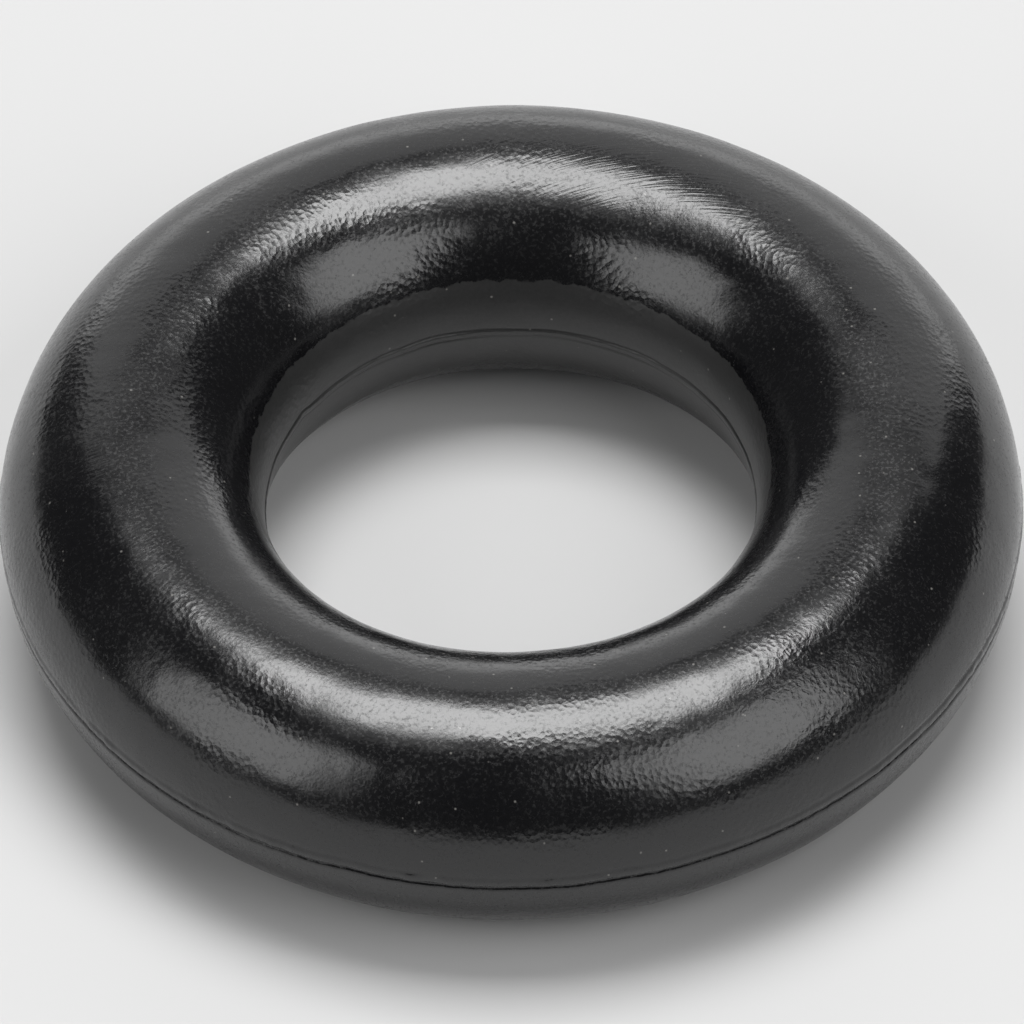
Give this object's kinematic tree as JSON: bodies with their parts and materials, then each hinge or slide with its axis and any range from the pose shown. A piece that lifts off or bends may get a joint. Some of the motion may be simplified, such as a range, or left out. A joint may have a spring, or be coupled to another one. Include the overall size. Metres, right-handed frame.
{
  "type": "rubber o-ring washer",
  "caption": "Moulded black rubber ring with a thick round section, a sealing washer for a spigot or a fitting.",
  "frame": {"origin": "centre of the bore, on the mould's parting plane at half the ring's thickness", "axes": "+Z along the bore's axis, out of the upper face; the ring is round, so X and Y are any two directions across it"},
  "size_m": [0.023, 0.023, 0.006],
  "materials": {
    "moulded_nitrile_rubber": "satin, as moulded"
  },
  "bodies": {
    "root": {"rubber_ring": "moulded_nitrile_rubber"}
  },
  "joints": []
}
